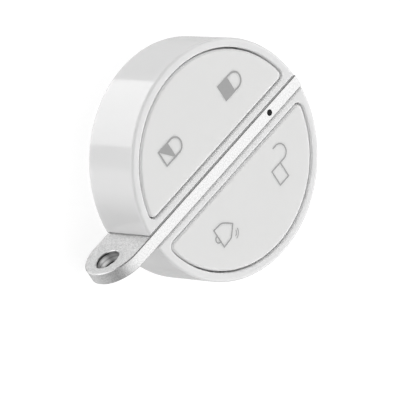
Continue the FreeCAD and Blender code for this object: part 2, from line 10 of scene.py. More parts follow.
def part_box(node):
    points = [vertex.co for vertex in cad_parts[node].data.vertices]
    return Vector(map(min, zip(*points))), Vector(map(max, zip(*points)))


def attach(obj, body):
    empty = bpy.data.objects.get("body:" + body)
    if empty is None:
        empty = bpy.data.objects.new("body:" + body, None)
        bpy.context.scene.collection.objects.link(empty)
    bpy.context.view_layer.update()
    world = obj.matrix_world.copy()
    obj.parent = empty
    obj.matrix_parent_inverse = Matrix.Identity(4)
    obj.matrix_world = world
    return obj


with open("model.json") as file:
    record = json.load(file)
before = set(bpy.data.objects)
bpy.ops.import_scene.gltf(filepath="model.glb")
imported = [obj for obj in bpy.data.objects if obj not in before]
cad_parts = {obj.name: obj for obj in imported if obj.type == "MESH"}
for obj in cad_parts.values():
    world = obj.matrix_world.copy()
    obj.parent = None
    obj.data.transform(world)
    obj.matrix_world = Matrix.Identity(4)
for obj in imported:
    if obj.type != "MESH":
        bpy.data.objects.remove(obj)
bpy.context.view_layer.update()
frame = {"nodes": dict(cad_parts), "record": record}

# A round white key fob: gloss housing, two satin D-shaped keys with printed signs, and a bead-blasted
# aluminium bar across the face that ends in a keyring lug. Metres, in the frame of the solids: the back
# lies on z = 0, +Z leads out of the face and +Y runs along the bar, away from the lug.

bl_info = {
    "name": "Round Key Fob",
    "version": (1, 0, 0),
    "blender": (4, 5, 0),
    "location": "View3D > Sidebar > Key Fob",
    "description": "Finishes, printed signs and a studio for a round key fob with two rocking keys",
    "category": "Object",
}

MM = 0.001
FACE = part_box("left_key")[1].z
BAR_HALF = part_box("keyring_bar")[1].x
BOARD_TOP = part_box("circuit_board")[1].z
BOARD_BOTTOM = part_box("circuit_board")[0].z
KEYRING_HOLE = next(mount for mount in frame["record"]["mounts"] if mount["name"] == "keyring_hole")
HOLE_Y, HOLE_Z = KEYRING_HOLE["pos_m"][1:]
HOLE_RADIUS = KEYRING_HOLE["dims"]["r_mm"] * MM

# Places and sizes that the finishes read. A pair is where a change over the surface begins and where it ends.
PRESS_POINT = (8.75 * MM, 8.0 * MM, FACE)  # where a thumb presses, the same in each quarter of the face
THUMB = (1.5 * MM, 6.0 * MM)  # distances from there over which the polish by a thumb fades
WHITE_BLEED = 0.8 * MM  # how far light spreads in the white plastic
PAINTED_LIGHT_DEPTH = (FACE - 0.2 * MM, FACE - 0.08 * MM)  # heights under which the grooves' walls carry painted light, a paler colour where they lie in shade
PAINTED_LIGHT_RADIUS = (18.2 * MM, 18.4 * MM)  # distances from the middle past which no groove lies and no light is painted
PAINTED_LIGHT_SLOT_START = (-18.9 * MM, -18.8 * MM)  # places along the bar, where it enters its slot; past them its sides carry painted light
BORE_WALL = (HOLE_RADIUS, HOLE_RADIUS + 0.06 * MM)  # distances from the keyring hole's middle, at its wall
HANDLED = (HOLE_RADIUS, HOLE_RADIUS + 1.2 * MM)  # distances from it over which the keyring has rubbed the lug
DRILL_PITCH = 0.55 * MM
DRILL_START = 0.1 * MM
PAINTED_SHADE_DIRECTION = (0.86, 0.51)  # along Y and Z, out of the half of the keyring hole that carries painted shade
PAINTED_SHADE_FADE = (0.2 * MM, 1.3 * MM)  # distances past the hole's middle in that direction
PAINTED_SHADE_RIM = (BAR_HALF - 0.5 * MM, BAR_HALF - 0.3 * MM)  # distances from the bar's middle, near its sides
TERMINAL_TOP = (BOARD_BOTTOM - 0.2 * MM, BOARD_BOTTOM - 0.17 * MM)
TERMINAL_PITCH = 0.5 * MM
DIODE_BASE = (BOARD_TOP + 0.28 * MM, BOARD_TOP + 0.32 * MM)

# Fixed colours and refraction.
BARE_BOARD = (0.42, 0.38, 0.22, 1.0)
TINNED = (0.7, 0.69, 0.66, 1.0)
PLASTIC_IOR = 1.49
SMOKED_IOR = 1.2
WHITE = (1.0, 1.0, 1.0, 1.0)


def length(name, description, default):
    """A length in metres that the user can set."""
    return FloatProperty(name=name, description=description, default=default, min=0.0, unit="LENGTH", precision=5)


def colour(name, description, default):
    """A colour that the user can set."""
    return FloatVectorProperty(name=name, description=description, default=default, min=0.0, max=1.0,
                               size=3, subtype="COLOR")


def share(name, description, default, highest=1.0):
    """A plain number from nought up that the user can set."""
    return FloatProperty(name=name, description=description, default=default, min=0.0, max=highest)


def turn(name, description, default):
    """An angle that the user can set, given here in degrees."""
    return FloatProperty(name=name, description=description, default=math.radians(default), subtype="ANGLE")


class FobShellSettings(bpy.types.PropertyGroup):
    """The white mouldings: the housing, the keys and the back cover."""
    shell_colour: colour("Shell", "Colour of the gloss housing", (0.80, 0.80, 0.80))
    shell_roughness: share("Shell roughness", "Roughness of the gloss housing", 0.10)
    key_colour: colour("Keys", "Colour of the two keys", (0.80, 0.80, 0.795))
    key_roughness: share("Key roughness", "Roughness of the satin keys", 0.42)
    # Painted light: a paler colour given to the grooves' walls, which lie in shade.
    painted_groove_light_colour: colour("Resin", "Colour of the bare resin in the grooves", (0.92, 0.92, 0.92))
    cover_colour: colour("Cover", "Colour of the back cover", (0.78, 0.78, 0.775))
    seal_colour: colour("Seal", "Colour of the rubber ring", (0.05, 0.05, 0.05))


class FobMetalSettings(bpy.types.PropertyGroup):
    """The keyring bar and the steel pieces."""
    bar_colour: colour("Bar", "Colour of the aluminium bar", (0.65, 0.65, 0.65))
    # Painted light: a pale colour for the bar's sides in the slot, where they lie in shade.
    painted_slot_light_colour: colour("Sealant", "Colour of the sealant on the bar's sides in its slot", (0.85, 0.85, 0.85))
    bar_roughness: share("Bar roughness", "Roughness of the blasted faces", 0.45)
    grain: length("Grain", "Size of the blasted grain", 0.20 * MM)
    edge: length("Polished edge", "Width of the bright edges along the bar", 0.16 * MM)
    steel_colour: colour("Steel", "Colour of the pins and the screws", (0.62, 0.62, 0.63))
    spring_colour: colour("Spring steel", "Colour of the domes and the contacts", (0.70, 0.69, 0.66))


class FobSignSettings(bpy.types.PropertyGroup):
    """The signs printed on the keys."""
    ink_colour: colour("Ink", "Colour of the printed signs", (0.36, 0.36, 0.36))
    ink: length("Ink thickness", "How far the print stands off the key", 0.008 * MM)
    line: length("Line", "Width of the closed padlocks' lines", 0.27 * MM)
    thin_line: length("Thin line", "Width of the open padlock's and the bell's lines", 0.21 * MM)
    lock_width: length("Padlock width", "Width of each padlock's body", 3.0 * MM)
    lock_height: length("Padlock height", "Height of each padlock's body", 2.45 * MM)
    shackle_leg: length("Shackle leg", "Straight part of each shackle's legs", 0.85 * MM)
    lock_x: length("Padlock place", "Distance of the left padlocks from the bar's middle", 8.75 * MM)
    upper_foot: length("Upper foot", "Height of the upper padlocks' feet over the middle", 5.66 * MM)
    lower_foot: length("Lower foot", "Depth of the lower padlock's foot under the middle", 9.86 * MM)
    open_x: length("Open padlock place", "Distance of the open padlock from the bar's middle", 8.97 * MM)
    bell_x: length("Bell place", "Distance of the bell from the bar's middle", 8.43 * MM)
    bell_foot: length("Bell foot", "Depth of the bell's foot under the middle", 9.07 * MM)
    bell_height: length("Bell height", "Height of the bell's body", 3.58 * MM)
    bell_width: length("Bell width", "Width of the bell's mouth", 3.45 * MM)
    bell_waist: length("Bell waist", "Width of the bell's body", 3.3 * MM)
    open_inset: length("Open shackle inset", "How much slimmer the open shackle is, on each side", 0.04 * MM)
    open_gap: length("Open shackle gap", "Height of the open shackle's free end over the body", 0.05 * MM)
    clapper: length("Clapper", "Radius of the bell's clapper", 0.58 * MM)
    ring_x: length("Ringing place", "Distance of the ringing arcs' centre from the bell's middle", 1.17 * MM)
    ring_y: length("Ringing height", "Height of the ringing arcs' centre over the bell's foot", 2.67 * MM)
    near_ring: length("Near arc", "Radius of the ringing arc next to the bell", 0.77 * MM)
    far_ring: length("Far arc", "Radius of the outer ringing arc", 1.18 * MM)


class FobInsideSettings(bpy.types.PropertyGroup):
    """What lies inside the housing."""
    lens_colour: colour("Lens", "Colour of the smoked lens", (0.008, 0.008, 0.009))
    board_colour: colour("Board", "Colour of the solder resist", (0.03, 0.20, 0.09))
    chip_colour: colour("Chips", "Colour of the moulded chips", (0.03, 0.03, 0.03))
    ceramic_colour: colour("Ceramic", "Colour of the fired ceramic", (0.72, 0.62, 0.48))
    diode_colour: colour("Diode", "Colour of the light-emitting diode", (0.85, 0.85, 0.78))
    copper_colour: colour("Copper", "Colour of the enamelled wire", (0.70, 0.33, 0.17))
    cell_colour: colour("Cell", "Colour of the coin cell's plating", (0.72, 0.72, 0.72))
    tray_colour: colour("Tray", "Colour of the battery tray", (0.10, 0.10, 0.11))
    wire: length("Wire", "Thickness of the coil's wire", 0.14 * MM)


class FobStageSettings(bpy.types.PropertyGroup):
    """The studio and the camera."""
    azimuth: turn("Azimuth", "Camera's direction round the fob, from the lug's side", -45.42)
    elevation: turn("Elevation", "Camera's height over the horizon", 49.80)
    roll: turn("Roll", "Camera's turn about its own line of sight", 94.67)
    distance: length("Distance", "Camera's distance from the point it looks at", 0.6218)
    aim_x: length("Aim across", "Where the camera looks, to the right of the bar's middle", 1.11 * MM)
    aim_y: length("Aim down", "Where the camera looks, from the disc's middle towards the lug", 8.12 * MM)
    lens: FloatProperty(name="Lens", description="Focal length in millimetres", default=359.85, min=10.0)
    sky: share("Sky", "Strength of the studio's light", 1.0, 10.0)
    floor_side: length("Floor", "Side of the floor", 4.0)
    floor_colour: colour("Floor colour", "Colour of the floor as the camera sees it", (0.30, 0.30, 0.30))
    floor_lift: share("Floor lift", "Plain light that the floor shows the camera, besides what it reflects", 0.80)


class Signal:
    """A node's output. Each operator on it adds one Math node and gives that node's output."""

    def __init__(self, graph, socket):
        self.graph = graph
        self.socket = socket

    def math(self, operation, *others):
        return self.graph.calculate(operation, self, *others)

    def __add__(self, other):
        return self.math("ADD", other)

    __radd__ = __add__

    def __mul__(self, other):
        return self.math("MULTIPLY", other)

    __rmul__ = __mul__

    def __sub__(self, other):
        return self.math("SUBTRACT", other)

    def __rsub__(self, other):
        return self.graph.calculate("SUBTRACT", other, self)

    def __abs__(self):
        return self.math("ABSOLUTE")

    def __gt__(self, edge):
        return self.math("GREATER_THAN", edge)


class Graph:
    """A node tree, emptied and then built up by one method."""

    def __init__(self, owner):
        owner.use_nodes = True
        self.tree = owner.node_tree
        self.tree.nodes.clear()

    def add(self, kind, settings=None, inputs=None, output=0):
        """Adds a node of a kind, with its settings first and then its inputs' values or links."""
        node = self.tree.nodes.new(kind)
        for key, value in (settings or {}).items():
            if key == "stops":
                self.place_stops(node.color_ramp.elements, value)
            else:
                setattr(node, key, value)
        for key, value in (inputs or {}).items():
            if isinstance(value, Signal):
                self.tree.links.new(value.socket, node.inputs[key])
            else:
                node.inputs[key].default_value = value
        return Signal(self, node.outputs[output]) if len(node.outputs) else None

    def calculate(self, operation, *operands):
        """Adds one Math node."""
        return self.add("ShaderNodeMath", {"operation": operation}, dict(enumerate(operands)))

    @staticmethod
    def place_stops(elements, stops):
        """Sets a ramp's stops from (position, grey) pairs."""
        while len(elements) < len(stops):
            elements.new(1.0)
        for element, (position, grey) in zip(elements, stops):
            element.position = position
            element.color = (grey, grey, grey, 1.0)

    def part_of(self, vector, axis):
        """One of a vector's three parts."""
        return self.add("ShaderNodeSeparateXYZ", None, {0: vector}, "XYZ".index(axis))

    def step(self, signal, low, high):
        """A smooth step: nought below low, one above high."""
        return self.add("ShaderNodeMapRange", {"interpolation_type": "SMOOTHSTEP"},
                        {"Value": signal, "From Min": low, "From Max": high})

    def fade(self, signal, low, high):
        """A smooth step down: one below low, nought above high."""
        return 1 - self.step(signal, low, high)

    def mix(self, factor, first, second):
        """A blend of two colours."""
        return self.add("ShaderNodeMix", {"data_type": "RGBA"}, {0: factor, 6: first, 7: second}, 2)


class Finish(Graph):
    """A surface finish whose patterns read the object's own coordinates, in metres."""

    def __init__(self, name):
        self.material = bpy.data.materials.new(name)
        super().__init__(self.material)
        self.place = self.add("ShaderNodeTexCoord", None, None, "Object")

    def stretched(self, across):
        """The coordinates times a factor along each axis, which squeezes a pattern along it."""
        return self.add("ShaderNodeMapping", None, {"Vector": self.place, "Scale": across})

    def noise(self, size, detail=2.0, place=None):
        """Cloudy noise from nought to one, with blobs of about a size."""
        return self.add("ShaderNodeTexNoise", None,
                        {"Vector": place or self.place, "Scale": 1 / size, "Detail": detail})

    def radius(self):
        """The distance from the axis through the middle of the face."""
        flat = self.add("ShaderNodeVectorMath", {"operation": "MULTIPLY"}, {0: self.place, 1: (1.0, 1.0, 0.0)})
        return self.add("ShaderNodeVectorMath", {"operation": "LENGTH"}, {0: flat}, "Value")

    def distance(self, vector, point):
        """The distance between a vector and a fixed point."""
        return self.add("ShaderNodeVectorMath", {"operation": "DISTANCE"}, {0: vector, 1: point}, "Value")

    def waves(self, signal, pitch):
        """A sine from nought to one that repeats over a pitch."""
        return (signal * (2 * math.pi / pitch)).math("SINE") * 0.5 + 0.5

    def groove(self):
        """One where light is painted: on the walls of the narrow grooves round the keys and the bar, which lie in
        shade, and on all that lies under the face.
        """
        return self.fade(self.part_of(self.place, "Z"), *PAINTED_LIGHT_DEPTH) * self.fade(self.radius(), *PAINTED_LIGHT_RADIUS)

    def bump(self, height, depth, after=None):
        """A Bump node: the height map times a depth in metres, on top of another bump."""
        inputs = {"Strength": 1.0, "Distance": depth, "Height": height}
        if after:
            inputs["Normal"] = after
        return self.add("ShaderNodeBump", None, inputs)

    def close(self, **sockets):
        """Adds the shader, with sockets named in snake case, and gives the material."""
        named = {key.replace("_", " ").title().replace("Ior", "IOR"): value for key, value in sockets.items()}
        shader = self.add("ShaderNodeBsdfPrincipled", None, named)
        self.add("ShaderNodeOutputMaterial", None, {"Surface": shader})
        return self.material


def rgba(values, factor=1.0):
    """A colour with its alpha, made lighter or darker by a factor."""
    return tuple(min(value * factor, 1.0) for value in values) + (1.0,)


def moulded(name, base, groove, roughness, peel, peel_depth, texture, texture_depth, translucence=0.0):
    """Moulded plastic: faint clouds, an uneven skin, the mould's own fine texture, and painted light in the grooves.

    The grooves' painted light is a paler colour on their walls, where shade falls; it also covers all that lies under
    the face, such as the back cover and the battery tray.
    """
    finish = Finish(name)
    cloud = finish.noise(9 * MM, 3.0)
    smudge = finish.noise(3.5 * MM, 4.0)
    skin = finish.bump(finish.noise(peel, 1.0), peel_depth)
    fine = finish.bump(finish.noise(texture, 2.0), texture_depth, skin)
    return finish.close(
        # The grooves' colour is painted light: their walls are made paler where they lie in shade.
        base_color=finish.mix(finish.groove(), finish.mix(cloud, rgba(base, 0.985), rgba(base, 1.01)), rgba(groove)),
        roughness=smudge * 0.06 + (roughness - 0.03),
        normal=fine,
        ior=PLASTIC_IOR,
        subsurface_weight=translucence,
        subsurface_radius=(1.0, 1.0, 1.0),
        subsurface_scale=WHITE_BLEED,
    )


def key_plastic(settings):
    """Satin plastic with a fine etched texture, a little smoother where thumbs press it, and painted light on its
    sides in the grooves.
    """
    finish = Finish("satin_key")
    folded = finish.add("ShaderNodeVectorMath", {"operation": "ABSOLUTE"}, {0: finish.place})
    worn = finish.fade(finish.distance(folded, PRESS_POINT), *THUMB)
    smudge = finish.noise(2.5 * MM, 4.0)
    cloud = finish.noise(8 * MM, 2.0)
    skin = finish.bump(finish.noise(1.6 * MM, 1.0), 0.0012 * MM)
    etched = finish.bump(finish.noise(0.12 * MM, 2.0), 0.0015 * MM, skin)
    base = settings.key_colour
    return finish.close(
        # Painted light: the key's sides in the grooves are made paler where they lie in shade.
        base_color=finish.mix(finish.groove(), finish.mix(cloud, rgba(base, 0.99), rgba(base, 1.01)),
                              rgba(settings.painted_groove_light_colour)),
        roughness=smudge * 0.05 + (settings.key_roughness - 0.025) - worn * 0.05,
        normal=etched,
        ior=PLASTIC_IOR,
        subsurface_weight=1.0,
        subsurface_radius=(1.0, 1.0, 1.0),
        subsurface_scale=WHITE_BLEED,
    )


def drilled_bore(finish, base, across):
    """The wall of the keyring hole: the drill's rings along it, and painted shade, a dark crescent near the rim on
    its lower, outer half.
    """
    rings = finish.step(finish.waves(across + DRILL_START, DRILL_PITCH), 0.75, 0.95)
    along, up = PAINTED_SHADE_DIRECTION
    over = finish.part_of(finish.place, "Y") * along + finish.part_of(finish.place, "Z") * up
    middle = HOLE_Y * along + HOLE_Z * up
    shaded_half = finish.fade(over, *(middle + distance for distance in PAINTED_SHADE_FADE))
    # Painted shade: a near-black crescent on the bore's wall, where it lies in shade.
    painted_shade = finish.step(across, *PAINTED_SHADE_RIM) * shaded_half
    return finish.mix(painted_shade, finish.mix(rings, rgba(base, 0.75), rgba(base, 0.5)), rgba(base, 0.05))


def blasted_aluminium(settings):
    """Bead-blasted aluminium with bright cut edges and a drilled keyring hole; the bar's sides in its slot are
    painted pale and dull, as painted light in the slot's shade.
    """
    finish = Finish("blasted_aluminium")
    across = abs(finish.part_of(finish.place, "X"))
    flat = finish.add("ShaderNodeVectorMath", {"operation": "MULTIPLY"}, {0: finish.place, 1: (0.0, 1.0, 1.0)})
    hole = finish.distance(flat, (0.0, HOLE_Y, HOLE_Z))
    edge = settings.edge
    along_edge = finish.step(across, BAR_HALF - edge, BAR_HALF - edge * 0.7)
    on_side = finish.step(across, BAR_HALF - edge * 0.08, BAR_HALF - edge * 0.04)
    cut = along_edge * (1 - on_side)
    grain = finish.noise(settings.grain, 3.0)
    patches = finish.noise(4 * MM, 3.0)
    pits = finish.bump(finish.noise(0.09 * MM, 2.0), 0.004 * MM)
    blasted = finish.bump(grain, 0.014 * MM, pits)
    base = settings.bar_colour
    speckled = finish.mix(finish.step(grain, 0.3, 0.7), rgba(base, 0.78), rgba(base, 1.18))
    toned = finish.mix(patches * 0.5, speckled, rgba(base, 0.97))
    rubbed = finish.fade(hole, *HANDLED)
    bore = drilled_bore(finish, base, across)
    # Painted light: the bar's sides in the slot turn pale and non-metallic, so the slot's shade looks lighter.
    painted_light_sides = on_side * finish.step(finish.part_of(finish.place, "Y"), *PAINTED_LIGHT_SLOT_START)
    metal = finish.mix(finish.fade(hole, *BORE_WALL), finish.mix(cut, toned, rgba(base, 1.02)), bore)
    return finish.close(
        base_color=finish.mix(painted_light_sides, metal, rgba(settings.painted_slot_light_colour)),
        metallic=1 - painted_light_sides,
        roughness=(grain * 0.12 + (settings.bar_roughness - 0.06)) * (1 - cut * 0.4) - rubbed * 0.06,
        normal=blasted,
    )


def turned_steel(name, base, roughness, squeeze):
    """Drawn or turned steel, with fine lines: the noise is squeezed along one axis, by the times given for it."""
    finish = Finish(name)
    lines = finish.noise(0.6 * MM, 3.0, finish.stretched(squeeze))
    stain = finish.noise(2 * MM, 3.0)
    return finish.close(
        base_color=finish.mix(stain, rgba(base, 0.92), rgba(base, 1.06)),
        metallic=1.0,
        roughness=lines * 0.14 + (roughness - 0.07),
        normal=finish.bump(lines, 0.002 * MM),
    )


def smoked_lens(settings):
    """Dark gloss plastic with a faint haze in it."""
    finish = Finish("smoked_lens")
    haze = finish.noise(0.4 * MM, 3.0)
    base = settings.lens_colour
    return finish.close(
        base_color=finish.mix(haze, rgba(base), rgba(base, 1.6)),
        roughness=haze * 0.06 + 0.06,
        normal=finish.bump(haze, 0.0008 * MM),
        ior=SMOKED_IOR,
    )


def seal_rubber(settings):
    """Matt rubber with a dusty bloom."""
    finish = Finish("seal_rubber")
    bloom = finish.noise(1.5 * MM, 4.0)
    base = settings.seal_colour
    return finish.close(
        base_color=finish.mix(bloom, rgba(base, 0.8), rgba(base, 1.8)),
        roughness=bloom * 0.15 + 0.65,
        normal=finish.bump(finish.noise(0.1 * MM, 2.0), 0.004 * MM),
    )


def printed_board(settings):
    """Solder resist over copper: traces in rings and spokes show through it, and the cut edge is bare."""
    finish = Finish("printed_board")
    normal = finish.add("ShaderNodeNewGeometry", None, None, "Normal")
    level = finish.step(abs(finish.part_of(normal, "Z")), 0.4, 0.6)
    wander = finish.noise(6 * MM, 2.0) * (1.5 * MM)
    rings = finish.step(finish.waves(finish.radius() + wander, 1.3 * MM), 0.55, 0.7)
    runs = finish.step(finish.waves(finish.part_of(finish.place, "X") + wander, 1.1 * MM), 0.6, 0.75)
    choice = finish.step(finish.noise(5 * MM, 1.0), 0.48, 0.52)
    traces = rings * choice + runs * (1 - choice)
    base = settings.board_colour
    resist = finish.mix(traces, rgba(base, 0.75), rgba(base, 1.5))
    return finish.close(
        base_color=finish.mix(level, BARE_BOARD, resist),
        roughness=finish.noise(0.5 * MM, 3.0) * 0.1 + 0.28,
        normal=finish.bump(traces, 0.02 * MM),
    )


def moulded_chip(settings):
    """Dull black epoxy, with bright terminals in a row along the edge that meets the board."""
    finish = Finish("moulded_chip")
    foot = finish.step(finish.part_of(finish.place, "Z"), *TERMINAL_TOP)
    row = finish.waves(finish.part_of(finish.place, "Y") + finish.part_of(finish.place, "X"), TERMINAL_PITCH) > 0.5
    terminals = foot * row
    speck = finish.noise(0.08 * MM, 3.0)
    base = settings.chip_colour
    return finish.close(
        base_color=finish.mix(terminals, finish.mix(speck, rgba(base, 0.7), rgba(base, 1.5)), TINNED),
        metallic=terminals,
        roughness=speck * 0.2 + 0.5 - terminals * 0.3,
        normal=finish.bump(speck, 0.004 * MM),
    )


def fired_ceramic(settings):
    """Fine-grained fired ceramic."""
    finish = Finish("fired_ceramic")
    speck = finish.noise(0.12 * MM, 4.0)
    base = settings.ceramic_colour
    return finish.close(
        base_color=finish.mix(speck, rgba(base, 0.85), rgba(base, 1.12)),
        roughness=speck * 0.15 + 0.4,
        normal=finish.bump(speck, 0.003 * MM),
    )


def diode_resin(settings):
    """Milky resin over a pale base."""
    finish = Finish("diode_resin")
    haze = finish.noise(0.3 * MM, 3.0)
    upper = finish.step(finish.part_of(finish.place, "Z"), *DIODE_BASE)
    base = settings.diode_colour
    return finish.close(
        base_color=finish.mix(upper, rgba(base, 0.8), finish.mix(haze, rgba(base, 0.92), rgba(base, 1.1))),
        roughness=0.4 - upper * 0.22 + haze * 0.05,
        normal=finish.bump(haze, 0.002 * MM),
    )


def wound_copper(settings):
    """Enamelled wire in turns that lie beside and over each other, as waves along the radius and the height, with
    painted shade darkening the hollows between turns.
    """
    finish = Finish("wound_copper")
    wobble = finish.noise(3 * MM, 2.0) * (0.05 * MM)
    turns = finish.waves(finish.radius() + wobble, settings.wire)
    layers = finish.waves(finish.part_of(finish.place, "Z") + wobble, settings.wire)
    wires = turns.math("MINIMUM", layers)
    base = settings.copper_colour
    return finish.close(
        # Painted shade: the copper is darker in the hollows between the turns.
        base_color=finish.mix(finish.step(wires, 0.0, 0.5), rgba(base, 0.45), rgba(base, 1.1)),
        metallic=1.0,
        roughness=finish.noise(0.8 * MM, 2.0) * 0.12 + 0.24,
        normal=finish.bump(wires, 0.03 * MM),
    )


def plated_cell(settings):
    """Nickel plating over a spun steel can: fine rings, and a few faint scuffs."""
    finish = Finish("plated_cell")
    rings = finish.waves(finish.radius() + finish.noise(2 * MM, 2.0) * (0.2 * MM), 0.11 * MM)
    scuffs = finish.step(finish.noise(0.5 * MM, 4.0, finish.stretched((1.0, 6.0, 1.0))), 0.6, 0.75)
    base = settings.cell_colour
    return finish.close(
        base_color=finish.mix(scuffs, rgba(base), rgba(base, 0.85)),
        metallic=1.0,
        roughness=rings * 0.06 + scuffs * 0.15 + 0.2,
        normal=finish.bump(rings, 0.0015 * MM),
    )


def ink_print(settings):
    """Grey pad-printed ink, a little thinner in places."""
    finish = Finish("grey_ink")
    thin = finish.noise(0.35 * MM, 3.0)
    base = settings.ink_colour
    return finish.close(
        base_color=finish.mix(thin, rgba(base, 0.94), rgba(base, 1.08)),
        roughness=thin * 0.08 + 0.4,
        normal=finish.bump(finish.noise(0.1 * MM, 2.0), 0.001 * MM),
        ior=PLASTIC_IOR,
    )


def dress(material, *nodes):
    """Gives a finish to the solids with these names."""
    for node in nodes:
        for slot in frame["nodes"][node].material_slots:
            slot.material = material


def arc(centre, radius, start, end, steps=28):
    """Points on a circle: the centre plus the radius times cosine and sine of evenly spaced degrees."""
    angles = np.radians(np.linspace(start, end, steps))
    return np.array(centre) + radius * np.column_stack([np.cos(angles), np.sin(angles)])


def ribbon(line, width, low, high, closed=False):
    """A flat band along a line in the plane of the face.

    At each point the section is a rectangle from low to high, whose sides stand half the width away along
    the mitre: the sum of the two runs' normals over one plus their dot product.
    """
    line = np.asarray(line, float)
    after = np.roll(line, -1, axis=0) - line
    before = np.roll(after, 1, axis=0)
    if not closed:
        after[-1] = after[-2]
        before[0] = after[0]
    after /= np.linalg.norm(after, axis=1)[:, None]
    before /= np.linalg.norm(before, axis=1)[:, None]
    normals = [np.column_stack([-run[:, 1], run[:, 0]]) for run in (before, after)]
    mitre = (normals[0] + normals[1]) / (1 + np.sum(normals[0] * normals[1], axis=1))[:, None]
    left, right = line + mitre * width / 2, line - mitre * width / 2
    count = len(line)
    section = [(left, low), (right, low), (right, high), (left, high)]
    points = np.stack([np.column_stack([side, np.full(count, z)]) for side, z in section], axis=1)
    start = np.arange(count if closed else count - 1)[:, None]
    corner = np.arange(4)[None, :]
    here, there = start * 4, (start + 1) % count * 4
    turned = (corner + 1) % 4
    quads = np.stack([here + corner, here + turned, there + turned, there + corner], axis=-1).reshape(-1, 4)
    faces = [quads]
    if not closed:
        last = (count - 1) * 4
        faces.append(np.array([[3, 2, 1, 0], [last, last + 1, last + 2, last + 3]]))
    return points.reshape(-1, 3), np.concatenate(faces)[:, ::-1].tolist()


def plate(outline, low, high):
    """A flat plate with a convex outline, given anticlockwise, from low to high."""
    outline = np.asarray(outline, float)
    count = len(outline)
    points = np.concatenate([np.column_stack([outline, np.full(count, z)]) for z in (low, high)])
    index = np.arange(count)
    following = (index + 1) % count
    sides = np.column_stack([index, following, following + count, index + count]).tolist()
    return points, sides + [index[::-1].tolist(), (index + count).tolist()]


def printed_sign(name, shapes, key, settings):
    """Joins flat shapes into one closed mesh on a key, in ink."""
    points, faces, offset = [], [], 0
    for shape_points, shape_faces in shapes:
        points.append(shape_points)
        faces += [[corner + offset for corner in face] for face in shape_faces]
        offset += len(shape_points)
    mesh = bpy.data.meshes.new(name)
    mesh.from_pydata(np.concatenate(points).tolist(), [], faces)
    mesh.update()
    sign = bpy.data.objects.new(name, mesh)
    bpy.context.scene.collection.objects.link(sign)
    material = bpy.data.materials.get("grey_ink") or ink_print(settings)
    mesh.materials.append(material)
    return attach(sign, key)


def rectangle(left, right, foot, top):
    """A rectangle's four corners, anticlockwise."""
    return [(left, foot), (right, foot), (right, top), (left, top)]


def shackle(centre, half, foot, leg, end_foot=None):
    """A padlock's shackle: up one leg, over a half circle, and down the other leg."""
    top = foot + leg
    over = arc((centre, top), half, 0, 180)
    end = foot if end_foot is None else end_foot
    return np.concatenate([[(centre + half, foot)], over, [(centre - half, end)]])


def bell_outline(centre, foot, height, waist, mouth, sharpness=8.0, flare_power=6, steps=40):
    """A bell with a pointed crown, from the left of its mouth over the crown to the right.

    Half the width is the soft minimum of half the waist and of the height that is left to the point: the
    sum of both to the power minus the sharpness, to the power minus one over it. A flare falls off as the
    flare power of that height.
    """
    way = np.linspace(0, 1, steps)
    left_over = np.maximum((1 - way) * height, 1e-6 * MM)
    flare = (mouth - waist) / 2 * (1 - way) ** flare_power
    half = ((waist / 2) ** -sharpness + left_over ** -sharpness) ** (-1 / sharpness) + flare
    left = np.column_stack([centre - half, foot + way * height])
    right = np.column_stack([centre + half, foot + way * height])[::-1]
    return np.concatenate([left[:-1], [(centre, foot + height)], right[1:]])


class FOB_OT_housing(bpy.types.Operator):
    """Finishes the housing, the back cover and the seal"""
    bl_idname = "fob.housing"
    bl_label = "Housing"

    def execute(self, context):
        settings = context.scene.fob_shell
        dress(moulded("gloss_shell", settings.shell_colour, settings.painted_groove_light_colour, settings.shell_roughness,
                      peel=1.8 * MM, peel_depth=0.0012 * MM, texture=0.25 * MM, texture_depth=0.0002 * MM,
                      translucence=1.0), "front_shell")
        dress(moulded("textured_cover", settings.cover_colour, settings.cover_colour, roughness=0.5,
                      peel=0.45 * MM, peel_depth=0.006 * MM, texture=0.12 * MM, texture_depth=0.003 * MM),
              "back_cover")
        dress(seal_rubber(settings), "seal_ring")
        return {"FINISHED"}


class FOB_OT_keys(bpy.types.Operator):
    """Finishes the two keys"""
    bl_idname = "fob.keys"
    bl_label = "Keys"

    def execute(self, context):
        dress(key_plastic(context.scene.fob_shell), "left_key", "right_key")
        return {"FINISHED"}


class FOB_OT_bar(bpy.types.Operator):
    """Finishes the keyring bar, its screws and the steel pins"""
    bl_idname = "fob.bar"
    bl_label = "Keyring bar"

    def execute(self, context):
        settings = context.scene.fob_metal
        dress(blasted_aluminium(settings), "keyring_bar")
        dress(turned_steel("drawn_pin", settings.steel_colour, roughness=0.30, squeeze=(14.0, 1.0, 1.0)),
              "anchor_pin", "left_key_pin", "right_key_pin")
        dress(turned_steel("turned_screw", settings.steel_colour, roughness=0.34, squeeze=(1.0, 1.0, 10.0)),
              "bar_screws")
        return {"FINISHED"}


class FOB_OT_springs(bpy.types.Operator):
    """Finishes the snap domes and the cell's contacts"""
    bl_idname = "fob.springs"
    bl_label = "Springs"

    def execute(self, context):
        base = context.scene.fob_metal.spring_colour
        domes = ["snap_dome_" + side + "_" + place for side in ("left", "right") for place in ("upper", "lower")]
        dress(turned_steel("rolled_dome", base, roughness=0.22, squeeze=(1.0, 9.0, 1.0)), *domes)
        dress(turned_steel("rolled_contact", base, roughness=0.26, squeeze=(9.0, 1.0, 1.0)),
              "positive_contact", "negative_contact")
        return {"FINISHED"}


class FOB_OT_indicator(bpy.types.Operator):
    """Finishes the indicator's lens and its diode"""
    bl_idname = "fob.indicator"
    bl_label = "Indicator"

    def execute(self, context):
        settings = context.scene.fob_inside
        dress(smoked_lens(settings), "indicator_lens")
        dress(diode_resin(settings), "indicator_led")
        return {"FINISHED"}


